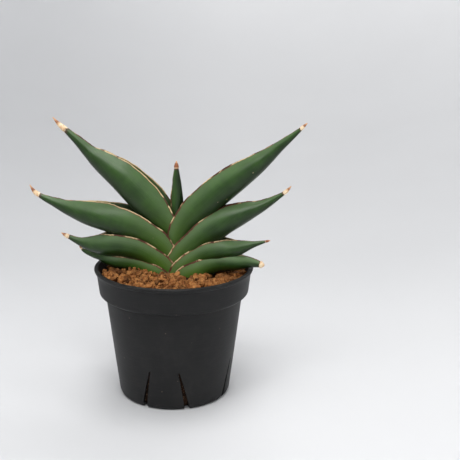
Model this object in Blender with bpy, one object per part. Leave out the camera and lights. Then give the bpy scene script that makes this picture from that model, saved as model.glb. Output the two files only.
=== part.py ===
"""A dwarf fan-shaped snake plant in gritty mix, in a 10 cm nursery pot.

Metres, +Z up. The pot stands on z = 0 with its axis on Z. The leaves grow in two ranks in one upright
plane, the fan plane, which is turned a little about Z. Lengths below are in millimetres until built.
"""

import math
import random

import bmesh
import bpy
from mathutils import Vector, noise

MM = 0.001
GAP = 0.3  # clear space kept between neighbouring pieces

# Pot
POT_HEIGHT = 83.0
LIP_RADIUS = 50.0
LIP_DEPTH = 2.2
LIP_INNER_RADIUS = 47.2
BAND_TOP_RADIUS = 48.6
BAND_BOTTOM_RADIUS = 47.2
BAND_BOTTOM_Z = 67.5
SHOULDER_DEPTH = 2.6
WALL_TOP_RADIUS = 43.2
WALL_FOOT_RADIUS = 35.5
FOOT_Z = 3.0
BASE_RADIUS = 32.6
WALL = 1.3
FLOOR = 1.6
POT_SEGMENTS = 72

# Drain slots
SLOT_COUNT = 8
SLOT_FIRST_DEG = -119.0
SLOT_TOP_Z = 26.0
SLOT_FOOT_WIDTH = 3.4
SLOT_TOP_WIDTH = 0.8
SLOT_LEAN_DEG = 9.0
SLOT_INNER_RADIUS = 29.5
SLOT_OUTER_RADIUS = 44.0

# Potting mix
SOIL_TOP_Z = 77.6
SOIL_SEGMENTS = 48
SOIL_RINGS = 9
SOIL_LUMP = 0.9
SOIL_LUMP_SPACING = 7.0
GRANULE_COUNT = 18
GRANULE_SIZES = (2.0, 3.2)
GRANULE_SPREAD = (29.0, 42.0)
SEED = 12

# Rootstock
CROWN_TOP_Z = 68.0
CROWN_RADIUS = 9.0
CROWN_DEPTH = 14.0
SOCKET_GAP = 0.9  # clear space round the rootstock
SOCKET_RISE = 3.0  # how far the crown's socket in the mix runs up, to open into the leaves' own
ROOT_COUNT = 6
ROOT_RADIUS = 1.9
ROOT_REACH = 17.0
ROOT_DROP = 34.0

# Leaves
FAN_TURN_DEG = -8.0
SECTION_SIDE = 6
STATIONS = 17
SHEATH_END = 0.34  # share of a leaf's length over which the sheath narrows to the blade
CHANNEL_END = 0.72  # share of a leaf's length at which the channel closes
BLADE_FLATNESS = 0.74  # breadth of a blade over its depth
TIP_FLATNESS = 0.92

# Each leaf, youngest first: its name, the breadth of its sheath, and its midline as
# (reach from the axis, height, depth across) from the foot of the sheath to the tip.
LEAVES = (
    ("leaf_centre", 6.6, (
        (1.5, 82, 6.6), (1.7, 98, 7.8), (2.1, 114, 8.2), (2.3, 124, 7.5), (2.1, 133, 6.2),
        (1.9, 140, 4.4), (1.9, 145, 2.6), (1.9, 149.5, 0.4))),
    ("leaf_left_1", 9.2, (
        (-1, 80, 11), (-1.6, 94, 12.5), (-4, 107, 16), (-10.5, 117, 19.5), (-19.4, 127.2, 21),
        (-31.5, 138.3, 19.3), (-45.8, 148.4, 13.1), (-52.8, 153.6, 8.8), (-59.1, 159.4, 6.2),
        (-65.6, 165.1, 4), (-71.1, 169.6, 2), (-75.5, 174.2, 0.4))),
    ("leaf_right_1", 11.4, (
        (3.2, 78, 13.5), (3.6, 93, 14.5), (6.2, 105.5, 16.5), (13, 117, 18), (23.5, 127.9, 18.6),
        (36.5, 138.4, 17), (50.7, 148.8, 12.6), (57.6, 154.2, 9.3), (64.2, 160, 6.6),
        (71, 165.6, 4.1), (76.3, 170.2, 2.3), (80.9, 174.7, 0.4))),
    ("leaf_left_2", 13.4, (
        (-3.6, 76, 16.5), (-4.6, 87, 17.5), (-8.8, 97, 18), (-17.5, 104, 18.5), (-26.5, 108.3, 19.5),
        (-36, 111, 19), (-44, 112.7, 17.9), (-52, 114.2, 16), (-60.2, 115.7, 13.1), (-68.1, 117.7, 9.4),
        (-75.8, 120.4, 6.3), (-83.5, 123.4, 3.9), (-89.2, 126.6, 1.9), (-92.4, 131.2, 0.4))),
    ("leaf_right_2", 15.3, (
        (3.8, 74, 17.5), (4.6, 84, 18), (8.6, 92.5, 17), (15.3, 100, 16.5), (23.4, 107, 17.4),
        (34, 114.3, 16.2), (46.5, 120, 11.6), (52.8, 122.6, 8.2), (58.9, 125.7, 5.3),
        (64.6, 129.4, 3.3), (69.1, 132.6, 1.8), (72.4, 136.3, 0.4))),
    ("leaf_left_3", 17.2, (
        (-5.2, 72.5, 19), (-7, 82.5, 18), (-13.6, 88.7, 16), (-22, 93, 16), (-32.5, 94.8, 16),
        (-42, 94.6, 15), (-48.5, 94.4, 12.5), (-54.8, 94.6, 9), (-61, 95.8, 5.5), (-66.5, 97.8, 3.3),
        (-70, 99.2, 1.8), (-73, 100.8, 0.4))),
    ("leaf_right_3", 19.0, (
        (6, 71.5, 19.5), (8.6, 81, 18), (15, 88.5, 15), (22.5, 93, 14.5), (30, 94.4, 14),
        (37.5, 95.5, 11.6), (43.5, 97, 8), (49.5, 98.7, 4.4), (55.5, 100.4, 2.1), (60.4, 101.7, 0.4))),
    ("leaf_left_4", 20.6, (
        (-6, 68.5, 20), (-9.2, 76, 16.5), (-17.5, 81, 12), (-27, 83.2, 10), (-36, 83.8, 9.6),
        (-43, 84.9, 7.2), (-47.5, 86.6, 5.6), (-52, 87.6, 4.6), (-56.8, 89, 3.1), (-59.6, 90.4, 1.6),
        (-61.5, 93.2, 0.4))),
    ("leaf_right_4", 22.2, (
        (7, 69, 21.5), (11.8, 77, 18.5), (20, 83.2, 14), (28, 86, 12.2), (35, 86.6, 11.2),
        (41, 87, 9.6), (46.5, 87.2, 7.2), (50.5, 86.7, 5.4), (54, 86.1, 3.8), (57, 85.5, 1.4))),
)


def clear_scene():
    for obj in list(bpy.data.objects):
        bpy.data.objects.remove(obj, do_unlink=True)


def make_material(name, colour, roughness):
    material = bpy.data.materials.new(name)
    material.use_nodes = True
    shader = material.node_tree.nodes["Principled BSDF"]
    shader.inputs["Base Color"].default_value = (*colour, 1.0)
    shader.inputs["Roughness"].default_value = roughness
    shader.inputs["Metallic"].default_value = 0.0
    material.diffuse_color = (*colour, 1.0)
    return material


def object_from(name, bm, material=None, cutter=False):
    """Turns a bmesh in millimetres into an object in metres, and a cutter into a hidden wire."""
    bmesh.ops.scale(bm, vec=(MM, MM, MM), verts=bm.verts)
    bmesh.ops.recalc_face_normals(bm, faces=bm.faces)
    mesh = bpy.data.meshes.new(name)
    bm.to_mesh(mesh)
    bm.free()
    obj = bpy.data.objects.new(name, mesh)
    bpy.context.scene.collection.objects.link(obj)
    if cutter:
        obj.hide_render = True
        obj.display_type = "WIRE"
    else:
        mesh.materials.append(material)
    return obj


def add_loop(bm, points):
    return [bm.verts.new(p) for p in points]


def bridge(bm, lower, upper):
    """Faces between two closed loops of the same number of points."""
    count = len(lower)
    for i in range(count):
        j = (i + 1) % count
        bm.faces.new((lower[i], lower[j], upper[j], upper[i]))


def cap(bm, loop, centre):
    """A fan of faces from a closed loop to a point."""
    tip = bm.verts.new(centre)
    for i, vert in enumerate(loop):
        bm.faces.new((vert, loop[(i + 1) % len(loop)], tip))


def circle(radius, z, segments):
    step = math.tau / segments
    return [(radius * math.cos(i * step), radius * math.sin(i * step), z) for i in range(segments)]


def subtract(obj, cutters, solver="EXACT"):
    for cutter in cutters:
        modifier = obj.modifiers.new("cut_" + cutter.name, "BOOLEAN")
        modifier.operation = "DIFFERENCE"
        modifier.solver = solver
        modifier.object = cutter


def body_volume(faces):
    """Volume inside some triangles that close on themselves."""
    volume = 0.0
    for face in faces:
        first, second, third = (vert.co for vert in face.verts)
        volume += first.dot(second.cross(third)) / 6
    return volume


def keep_largest_body(obj):
    """Applies the cuts and drops the loose scraps that they leave."""
    graph = bpy.context.evaluated_depsgraph_get()
    mesh = bpy.data.meshes.new_from_object(obj.evaluated_get(graph))
    obj.modifiers.clear()
    obj.data = mesh
    bm = bmesh.new()
    bm.from_mesh(mesh)
    bmesh.ops.triangulate(bm, faces=bm.faces)
    waiting = set(bm.faces)
    bodies = []
    while waiting:
        front = [waiting.pop()]
        body = list(front)
        while front:
            for edge in front.pop().edges:
                for face in edge.link_faces:
                    if face in waiting:
                        waiting.remove(face)
                        body.append(face)
                        front.append(face)
        bodies.append(body)
    bodies.sort(key=body_volume)
    for body in bodies[:-1]:
        bmesh.ops.delete(bm, geom=body, context="FACES")
    bm.to_mesh(mesh)
    bm.free()


def smooth_shading(obj, degrees=40):
    obj.data.shade_smooth()
    obj.data.set_sharp_from_angle(angle=math.radians(degrees))


def arc(centre, radius, start_deg, end_deg, steps):
    """Points (radius, height) along an arc in the pot's half section."""
    points = []
    for i in range(steps + 1):
        angle = math.radians(start_deg + (end_deg - start_deg) * i / steps)
        points.append((centre[0] + radius * math.cos(angle), centre[1] + radius * math.sin(angle)))
    return points


def wall_radius(z):
    """Outer radius of the tapering wall below the shoulder."""
    share = (z - FOOT_Z) / (BAND_BOTTOM_Z - SHOULDER_DEPTH - FOOT_Z)
    return WALL_FOOT_RADIUS + share * (WALL_TOP_RADIUS - WALL_FOOT_RADIUS)


def pot_outside():
    """The pot's outer profile, from the floor's edge up to the lip."""
    foot = [(BASE_RADIUS, 0.0), (BASE_RADIUS + 1.7, 0.6), (WALL_FOOT_RADIUS - 0.4, 1.7), (WALL_FOOT_RADIUS, FOOT_Z)]
    waist_z = BAND_BOTTOM_Z - SHOULDER_DEPTH
    shoulder = [
        (wall_radius(waist_z), waist_z),
        (WALL_TOP_RADIUS + 1.5, waist_z + 0.3),
        (BAND_BOTTOM_RADIUS - 1.1, BAND_BOTTOM_Z - 1.3),
        (BAND_BOTTOM_RADIUS - 0.2, BAND_BOTTOM_Z - 0.5),
        (BAND_BOTTOM_RADIUS, BAND_BOTTOM_Z + 0.6),
    ]
    lip_foot = POT_HEIGHT - LIP_DEPTH
    lip = [(BAND_TOP_RADIUS, lip_foot - 0.7), (LIP_RADIUS - 0.5, lip_foot)]
    lip += arc((LIP_RADIUS - 0.9, POT_HEIGHT - 0.9), 0.9, 0, 90, 3)
    return foot + shoulder + lip


def pot_inside(offset=0.0):
    """The pot's inner profile, from the floor up to below the lip, moved inwards by offset."""
    inset = WALL + offset
    waist_z = BAND_BOTTOM_Z - SHOULDER_DEPTH
    return [
        (BASE_RADIUS - 0.4 - offset, FLOOR + offset),
        (wall_radius(FOOT_Z + 1.5) - inset, FOOT_Z + 1.5),
        (wall_radius(waist_z) - inset, waist_z),
        (WALL_TOP_RADIUS + 1.0 - inset, waist_z + WALL + 0.5),
        (BAND_BOTTOM_RADIUS - 0.4 - inset, BAND_BOTTOM_Z + 0.4),
        (LIP_INNER_RADIUS - offset, POT_HEIGHT - LIP_DEPTH - 0.5),
    ]


def make_slot_cutter(index):
    """A wedge through the wall, wide at the foot and narrow at the top, leaning one way or the other."""
    foot_angle = math.radians(SLOT_FIRST_DEG + 360.0 / SLOT_COUNT * index)
    lean = math.radians(SLOT_LEAN_DEG) * (1 if index % 2 == 0 else -1)
    bm = bmesh.new()
    loops = []
    for z, width, angle in ((-1.0, SLOT_FOOT_WIDTH, foot_angle), (SLOT_TOP_Z, SLOT_TOP_WIDTH, foot_angle + lean)):
        out = Vector((math.cos(angle), math.sin(angle), 0))
        side = Vector((-math.sin(angle), math.cos(angle), 0)) * width / 2
        low = Vector((0, 0, z))
        corners = [
            low + out * SLOT_INNER_RADIUS - side,
            low + out * SLOT_OUTER_RADIUS - side,
            low + out * SLOT_OUTER_RADIUS + side,
            low + out * SLOT_INNER_RADIUS + side,
        ]
        loops.append(add_loop(bm, corners))
    bridge(bm, loops[0], loops[1])
    bm.faces.new(loops[0])
    bm.faces.new(loops[1])
    return object_from(f"slot_cutter_{index + 1}", bm, cutter=True)


def make_pot(material):
    outside = pot_outside()
    inner_lip = arc((LIP_INNER_RADIUS + 0.8, POT_HEIGHT - 0.8), 0.8, 90, 180, 2)
    profile = outside + inner_lip + pot_inside()[::-1]
    bm = bmesh.new()
    loops = [add_loop(bm, circle(radius, z, POT_SEGMENTS)) for radius, z in profile]
    for lower, upper in zip(loops, loops[1:]):
        bridge(bm, lower, upper)
    cap(bm, loops[0], (0, 0, 0))
    cap(bm, loops[-1], (0, 0, FLOOR))
    pot = object_from("pot", bm, material)
    subtract(pot, [make_slot_cutter(i) for i in range(SLOT_COUNT)])
    smooth_shading(pot)
    return pot


def section_half(flatness_share, margin_share):
    """Half section of a leaf as (breadth, depth) shares from the keel, at -1, to the margin, at 1."""
    points = []
    for i in range(1, SECTION_SIDE + 1):
        angle = math.pi * (-0.5 + i / SECTION_SIDE)
        across = math.cos(angle)
        if angle > 0:
            across = margin_share + (1 - margin_share) * across
        points.append((flatness_share * across, math.sin(angle)))
    return points


def smooth_step(low, high, value):
    share = min(1.0, max(0.0, (value - low) / (high - low)))
    return share * share * (3 - 2 * share)


def along(values, place):
    """Catmull-Rom reading of a list of tuples at a place from 0 to 1."""
    last = len(values) - 1
    spot = min(place * last, last - 1e-9)
    i = int(spot)
    t = spot - i
    before = values[max(i - 1, 0)]
    after = values[min(i + 2, last)]
    out = []
    for a, b, c, d in zip(before, values[i], values[i + 1], after):
        out.append(b + 0.5 * t * (c - a + t * (2 * a - 5 * b + 4 * c - d + t * (3 * (b - c) + d - a))))
    return out


def leaf_loops(sheath, midline, grow, channelled):
    """Loops of points around a leaf from its foot to its tip, each grown by a margin."""
    fan = math.radians(FAN_TURN_DEG)
    outwards = Vector((math.cos(fan), math.sin(fan), 0))
    sideways = Vector((-math.sin(fan), math.cos(fan), 0))
    up = Vector((0, 0, 1))
    towards = 1 if midline[-1][0] >= midline[0][0] else -1
    loops = []
    for i in range(STATIONS):
        place = i / (STATIONS - 1)
        reach, height, depth = along(midline, place)
        step = 0.01
        start = along(midline, max(place - step, 0))
        end = along(midline, min(place + step, 1))
        run = Vector((end[0] - start[0], end[1] - start[1])).normalized()
        over = Vector((-run[1], run[0])) * towards
        sheathing = 1 - smooth_step(0.0, SHEATH_END, place)
        flatness = BLADE_FLATNESS + (TIP_FLATNESS - BLADE_FLATNESS) * smooth_step(0.5, 0.9, place)
        breadth = sheath * sheathing + depth * flatness * (1 - sheathing)
        channel = 1 - smooth_step(0.45, CHANNEL_END, place)
        margin = 0.9 * sheathing + (0.42 * channel + 0.12) * (1 - sheathing)
        half = section_half(breadth / 2 + grow, margin)
        centre = outwards * reach + up * height
        if i == 0:
            centre -= up * grow
        depth_axis = outwards * over[0] + up * over[1]
        reach_up = depth / 2 + grow
        points = [centre - depth_axis * reach_up]
        points += [centre + sideways * across + depth_axis * (deep * reach_up) for across, deep in half]
        hollow = 0.2 * depth * channel if channelled else -0.02 * depth
        points.append(centre + depth_axis * (reach_up - hollow))
        points += [centre - sideways * across + depth_axis * (deep * reach_up) for across, deep in half[::-1]]
        loops.append(points)
    return loops


def make_leaf_mesh(sheath, midline, grow=0.0, channelled=True):
    bm = bmesh.new()
    rings = leaf_loops(sheath, midline, grow, channelled)
    loops = [add_loop(bm, points) for points in rings]
    for lower, upper in zip(loops, loops[1:]):
        bridge(bm, lower, upper)
    foot = sum(rings[0], Vector()) / len(rings[0])
    tip = sum(rings[-1], Vector()) / len(rings[-1])
    cap(bm, loops[0], foot)
    cap(bm, loops[-1], tip + (tip - sum(rings[-2], Vector()) / len(rings[-2])) * 0.1)
    return bm


def make_leaves(material):
    """The leaves, each cut where the younger ones rise inside its sheath, and their grown cutters."""
    leaves = []
    cutters = []
    for name, sheath, midline in LEAVES:
        leaf = object_from(name, make_leaf_mesh(sheath, midline), material)
        subtract(leaf, cutters, "MANIFOLD")
        leaves.append(leaf)
        grown = make_leaf_mesh(sheath, midline, GAP + 0.05, channelled=False)
        cutters.append(object_from(name + "_cutter", grown, cutter=True))
    for leaf in leaves:
        keep_largest_body(leaf)
        smooth_shading(leaf)
    return leaves, cutters


def root_path(index, share):
    angle = math.tau * (index + 0.5) / ROOT_COUNT
    out = Vector((math.cos(angle), math.sin(angle), 0))
    reach = CROWN_RADIUS * 0.45 + ROOT_REACH * math.sin(share * math.pi / 2)
    drop = ROOT_DROP * share ** 1.6
    return out * reach + Vector((0, 0, CROWN_TOP_Z - CROWN_DEPTH * 0.62 - drop))


def make_root(index, grow=0.0):
    """A tapering root that starts inside the crown."""
    bm = bmesh.new()
    steps = 5
    angle = math.tau * (index + 0.5) / ROOT_COUNT
    side = Vector((-math.sin(angle), math.cos(angle), 0))
    loops = []
    for i in range(steps + 1):
        share = i / steps
        here = root_path(index, share)
        ahead = root_path(index, share + 0.02)
        run = (ahead - here).normalized()
        other = run.cross(side)
        radius = ROOT_RADIUS * (1 - 0.65 * share) + grow
        points = []
        for k in range(6):
            turn = math.tau * k / 6
            points.append(here + (side * math.cos(turn) + other * math.sin(turn)) * radius)
        loops.append(add_loop(bm, points))
    for lower, upper in zip(loops, loops[1:]):
        bridge(bm, lower, upper)
    cap(bm, loops[0], root_path(index, 0))
    cap(bm, loops[-1], root_path(index, 1.0 + grow / ROOT_DROP))
    return bm


def make_crown(grow=0.0, rise=0.0):
    """The short stem under the leaves: a squat round body, with its top raised for a cutter."""
    bm = bmesh.new()
    rings = 5
    loops = []
    top = CROWN_TOP_Z + rise
    foot = CROWN_TOP_Z - CROWN_DEPTH - grow
    for i in range(rings):
        share = i / (rings - 1)
        angle = math.pi * (0.12 + 0.76 * share)
        radius = (CROWN_RADIUS + grow) * math.sin(angle) ** 0.6
        loops.append(add_loop(bm, circle(radius, foot + (top - foot) * share, 20)))
    for lower, upper in zip(loops, loops[1:]):
        bridge(bm, lower, upper)
    bm.faces.new(loops[0])
    bm.faces.new(loops[-1])
    return bm


def make_rootstock(material):
    """The crown with its roots as one body, and the grown shapes that clear it in the mix."""
    rootstock = object_from("rootstock", make_crown(), material)
    cutters = [object_from("crown_cutter", make_crown(SOCKET_GAP, SOCKET_RISE), cutter=True)]
    for i in range(ROOT_COUNT):
        root = object_from(f"root_{i + 1}_helper", make_root(i), cutter=True)
        union = rootstock.modifiers.new(f"root_{i + 1}", "BOOLEAN")
        union.operation = "UNION"
        union.solver = "EXACT"
        union.object = root
        cutters.append(object_from(f"root_{i + 1}_cutter", make_root(i, SOCKET_GAP), cutter=True))
    smooth_shading(rootstock, 60)
    return rootstock, cutters


def soil_height(x, y):
    """Height of the lumpy top of the mix."""
    spot = Vector((x, y, 0)) / SOIL_LUMP_SPACING
    return SOIL_TOP_Z + SOIL_LUMP * noise.noise(spot)


def make_soil(material, root_cutters, leaf_cutters):
    bm = bmesh.new()
    wall = [(radius, z) for radius, z in pot_inside(GAP) if z < SOIL_TOP_Z - 2]
    below, above = pot_inside(GAP)[-2:]
    share = (SOIL_TOP_Z - below[1]) / (above[1] - below[1])
    top_radius = below[0] + share * (above[0] - below[0])
    loops = [add_loop(bm, circle(radius, z, SOIL_SEGMENTS)) for radius, z in wall]
    for i in range(SOIL_RINGS):
        radius = top_radius * (1 - i / SOIL_RINGS)
        ring = [(x, y, soil_height(x, y)) for x, y, _ in circle(radius, 0, SOIL_SEGMENTS)]
        loops.append(add_loop(bm, ring))
    for lower, upper in zip(loops, loops[1:]):
        bridge(bm, lower, upper)
    bm.faces.new(loops[0])
    cap(bm, loops[-1], (0, 0, soil_height(0, 0)))
    soil = object_from("soil", bm, material)
    subtract(soil, root_cutters)
    subtract(soil, leaf_cutters, "MANIFOLD")
    keep_largest_body(soil)
    return soil


def make_granule(index, place, size, rng, material):
    """One loose lump of the mix, resting just above the bed."""
    bm = bmesh.new()
    bmesh.ops.create_icosphere(bm, subdivisions=1, radius=size)
    stretch = Vector((rng.uniform(0.8, 1.25), rng.uniform(0.8, 1.25), rng.uniform(0.6, 0.8)))
    for vert in bm.verts:
        vert.co = vert.co * rng.uniform(0.86, 1.08) * stretch
    lowest = min(vert.co.z for vert in bm.verts)
    x, y = place
    bed = max(soil_height(x + vert.co.x, y + vert.co.y) for vert in bm.verts)
    for vert in bm.verts:
        vert.co += Vector((x, y, bed + GAP + 0.2 - lowest))
    return object_from(f"granule_{index:02d}", bm, material)


def leaf_keepout():
    """Places along the low leaves, in plan, that loose granules stay clear of."""
    fan = math.radians(FAN_TURN_DEG)
    spots = []
    for name, sheath, midline in LEAVES:
        for reach, height, depth in midline:
            if height - depth / 2 < POT_HEIGHT + 3:
                clear = max(sheath / 2 if abs(reach) < 16 else 0, depth * 0.45)
                spots.append((reach * math.cos(fan), reach * math.sin(fan), clear))
    return spots


def make_granules(material):
    rng = random.Random(SEED)
    keepout = leaf_keepout()
    placed = []
    tries = 0
    while len(placed) < GRANULE_COUNT and tries < 4000:
        tries += 1
        size = rng.uniform(*GRANULE_SIZES)
        angle = rng.uniform(0, math.tau)
        radius = rng.uniform(*GRANULE_SPREAD)
        x = radius * math.cos(angle)
        y = radius * math.sin(angle)
        near_leaf = any(math.hypot(x - a, y - b) < clear + size * 1.4 + 3 for a, b, clear in keepout)
        near_other = any(math.hypot(x - a, y - b) < (size + other) * 1.35 + GAP for a, b, other in placed)
        if near_leaf or near_other or radius + size * 1.3 > LIP_INNER_RADIUS - 1:
            continue
        placed.append((x, y, size))
        make_granule(len(placed), (x, y), size, rng, material)


def main():
    clear_scene()
    plastic = make_material("pot_plastic", (0.022, 0.022, 0.024), 0.42)
    mix = make_material("potting_mix", (0.29, 0.13, 0.055), 0.9)
    root = make_material("root_flesh", (0.55, 0.36, 0.18), 0.7)
    leaf = make_material("leaf_skin", (0.045, 0.11, 0.03), 0.45)
    make_pot(plastic)
    leaves, leaf_cutters = make_leaves(leaf)
    rootstock, root_cutters = make_rootstock(root)
    make_soil(mix, root_cutters, leaf_cutters)
    make_granules(mix)


main()
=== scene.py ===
"""A dwarf fan-shaped snake plant growing in coarse reddish grit, in a 10 cm nursery pot.

Lengths are written in millimetres and made metres as they are used, except those of the studio. The
pot stands on z = 0 with its axis on Z, and the leaves grow in two ranks in one upright plane, the
fan plane.
"""

import math
import random

import bmesh
import bpy
from mathutils import Matrix, Vector, noise


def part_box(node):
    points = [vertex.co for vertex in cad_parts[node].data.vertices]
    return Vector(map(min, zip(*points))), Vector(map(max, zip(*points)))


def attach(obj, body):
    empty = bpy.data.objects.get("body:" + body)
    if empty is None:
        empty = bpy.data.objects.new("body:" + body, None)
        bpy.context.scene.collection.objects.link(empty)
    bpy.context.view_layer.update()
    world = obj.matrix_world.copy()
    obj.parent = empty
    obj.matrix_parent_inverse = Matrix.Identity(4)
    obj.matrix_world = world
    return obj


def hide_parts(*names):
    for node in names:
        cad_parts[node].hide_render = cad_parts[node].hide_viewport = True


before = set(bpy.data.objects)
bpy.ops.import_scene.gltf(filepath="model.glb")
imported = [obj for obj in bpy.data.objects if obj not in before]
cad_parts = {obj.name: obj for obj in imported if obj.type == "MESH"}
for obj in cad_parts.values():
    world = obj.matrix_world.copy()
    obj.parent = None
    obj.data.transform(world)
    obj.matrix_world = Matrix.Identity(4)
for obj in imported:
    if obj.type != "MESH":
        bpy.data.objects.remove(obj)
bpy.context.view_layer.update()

MM = 0.001

# Pot: pairs are (radius, height) on its wall
POT_SEGMENTS = 192
WALL = 1.3
WALL_FOOT = (35.5, 3.0)
WALL_TOP = (43.2, 64.9)
BAND_FOOT = (47.2, 68.1)
BAND_TOP = (48.6, 80.1)
LIP_INNER_RADIUS = 47.2
POT_CREASE_DEG = 38
POT_WARP = 0.22  # how far the moulded wall wanders from a true round
POT_WARP_LENGTH = 24
SLOT_COUNT = 8
SLOT_STEPS = 6
SLOT_FIRST_DEG = -119.0
SLOT_TOP_Z = 26.0
SLOT_FOOT_WIDTH = 3.4
SLOT_TOP_WIDTH = 0.8
SLOT_LEAN_DEG = 9.0
CUTTER_RADIUS = 36.75  # middle of a slot's cutter, which reaches right through the wall
CUTTER_REACH = 14.5
CUTTER_SPARE = 0.5

# Potting mix
BED_TOP_Z = 76.2
BED_RADIUS = 46.2
BED_RINGS = 34
BED_SEGMENTS = 132
GRIT_KINDS = 9
GRIT_CUTS = 5
GRIT_LAYERS = (  # spacing, smallest and largest radius, lift over the bed, share kept
    (4.1, 1.8, 2.8, 0.3, 1.0),
    (5.3, 2.3, 3.7, 1.7, 0.76),
    (3.6, 0.8, 1.5, 2.9, 0.40),
)
GRIT_ROW_PITCH = 0.866  # rows of a triangular grid, for a spacing of 1
LOOSE_SIZE = 1.6  # half the diagonal of a loose lump's box, for a radius of 1
MOUND_HEIGHT = 2.6
STEM_HALF_LENGTH = 11
SEED = 21

# Leaves
FAN_TURN_DEG = -8.0
RING_SIDES = 48
HALF_SIDES = RING_SIDES // 2
CREST_SHARE = 0.75  # share of the way from the keel to the channel's floor at which the crest lies
CREST_POINT = int(HALF_SIDES * CREST_SHARE)
RINGS = 92
RING_CROWDING = 0.35  # how much closer the rings stand towards the tip
POINT_LENGTH = 0.12
SHEATH_END = 0.34
CHANNEL_START = 0.32
CHANNEL_END = 0.64
BLADE_FLATNESS = 0.95
TIP_FLATNESS = 0.92
OUTER_SPREAD = 0.027  # the outer leaves, with the broader sheaths, have the broader blades
CREST_DEG = 64.0
CHANNEL_DEPTH = 0.26
CLASP_START = 0.17  # share of a leaf's length up to which its margins clasp the younger leaves
CLASP_END = 0.40
CLASP_MARGIN = 0.96
CLASP_EASING = 0.24  # how far the clasping margins draw in past the stem
CLASP_SPREAD = 0.022  # the broader the sheath, the farther out a leaf clasps
HUSK_SWELL = 0.45  # the dry husk's swelling, as a share of the tip's breadth
HORN_RISE = 0.40
MARGIN_WIDTH = 1.4
MARGIN_WAVE = 0.55
MARGIN_RAG = 0.22
LEAF_NOTES = ("margin", "tip", "cream", "blush", "youth", "brown", "around", "far", "painted_sheen_strength")

# Each leaf, youngest first: name, breadth of the sheath, length of the dry tip, share of it that is
# brown, how creamy the margin is, how red the channel is, and the midline as (reach, height, depth)
LEAVES = (
    ("leaf_centre", 6.6, 4.6, 0.85, 0.15, 0.0, (
        (1.5, 82, 6.6), (1.7, 98, 7.8), (2.1, 114, 8.2), (2.3, 124, 7.5), (2.1, 133, 6.2),
        (1.9, 140, 4.4), (1.9, 145, 2.6), (1.9, 149.5, 0.4))),
    ("leaf_left_1", 9.2, 11.0, 0.45, 1.0, 0.15, (
        (-1, 80, 11), (-1.6, 94, 12.5), (-4, 107, 16), (-10.5, 117, 19.5), (-19.4, 127.2, 21),
        (-31.5, 138.3, 19.3), (-45.8, 148.4, 13.1), (-52.8, 153.6, 8.8), (-59.1, 159.4, 6.2),
        (-65.6, 165.1, 4), (-71.1, 169.6, 2), (-75.5, 174.2, 0.4))),
    ("leaf_right_1", 11.4, 5.2, 0.5, 0.35, 0.1, (
        (3.2, 78, 13.5), (3.6, 93, 14.5), (6.2, 105.5, 16.5), (13, 117, 18), (23.5, 127.9, 18.6),
        (36.5, 138.4, 17), (50.7, 148.8, 12.6), (57.6, 154.2, 9.3), (64.2, 160, 6.6),
        (71, 165.6, 4.1), (76.3, 170.2, 2.3), (80.9, 174.7, 0.4))),
    ("leaf_left_2", 13.4, 9.2, 0.5, 0.9, 0.2, (
        (-3.6, 76, 16.5), (-4.6, 87, 17.5), (-8.8, 97, 18), (-17.5, 104, 18.5),
        (-26.5, 108.3, 19.5), (-36, 111, 19), (-44, 112.7, 17.9), (-52, 114.2, 16),
        (-60.2, 115.7, 13.1), (-68.1, 117.7, 9.4), (-75.8, 120.4, 6.3), (-83.5, 123.4, 3.9),
        (-89.2, 126.6, 1.9), (-92.4, 131.2, 0.4))),
    ("leaf_right_2", 15.3, 6.4, 0.45, 0.25, 0.1, (
        (3.8, 74, 17.5), (4.6, 84, 18), (8.6, 92.5, 17), (15.3, 100, 16.5), (23.4, 107, 17.4),
        (34, 114.3, 16.2), (46.5, 120, 11.6), (52.8, 122.6, 8.2), (58.9, 125.7, 5.3),
        (64.6, 129.4, 3.3), (69.1, 132.6, 1.8), (72.4, 136.3, 0.4))),
    ("leaf_left_3", 17.2, 5.6, 0.5, 0.55, 0.3, (
        (-5.2, 72.5, 19), (-7, 82.5, 18), (-13.6, 88.7, 16), (-22, 93, 16), (-32.5, 94.8, 16),
        (-42, 94.6, 15), (-48.5, 94.4, 12.5), (-54.8, 94.6, 9), (-61, 95.8, 5.5),
        (-66.5, 97.8, 3.3), (-70, 99.2, 1.8), (-73, 100.8, 0.4))),
    ("leaf_right_3", 19.0, 3.0, 0.9, 0.45, 0.2, (
        (6, 71.5, 19.5), (8.6, 81, 18), (15, 88.5, 15), (22.5, 93, 14.5), (30, 94.4, 14),
        (37.5, 95.5, 11.6), (43.5, 97, 8), (49.5, 98.7, 4.4), (55.5, 100.4, 2.1),
        (60.4, 101.7, 0.4))),
    ("leaf_left_4", 20.6, 3.0, 0.6, 0.6, 0.35, (
        (-6, 68.5, 20), (-9.2, 76, 16.5), (-17.5, 81, 12), (-27, 83.2, 10), (-36, 83.8, 9.6),
        (-43, 84.9, 7.2), (-47.5, 86.6, 5.6), (-52, 87.6, 4.6), (-56.8, 89, 3.1),
        (-59.6, 90.4, 1.6), (-61.5, 93.2, 0.4))),
    ("leaf_right_4", 22.2, 3.0, 0.0, 0.5, 1.0, (
        (7, 69, 21.5), (11.8, 77, 18.5), (20, 83.2, 14), (28, 86, 12.2), (35, 86.6, 11.2),
        (41, 87, 9.6), (46.5, 87.2, 7.2), (50.5, 86.7, 5.4), (54, 86.1, 3.8), (57, 85.5, 1.4))),
)

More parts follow.
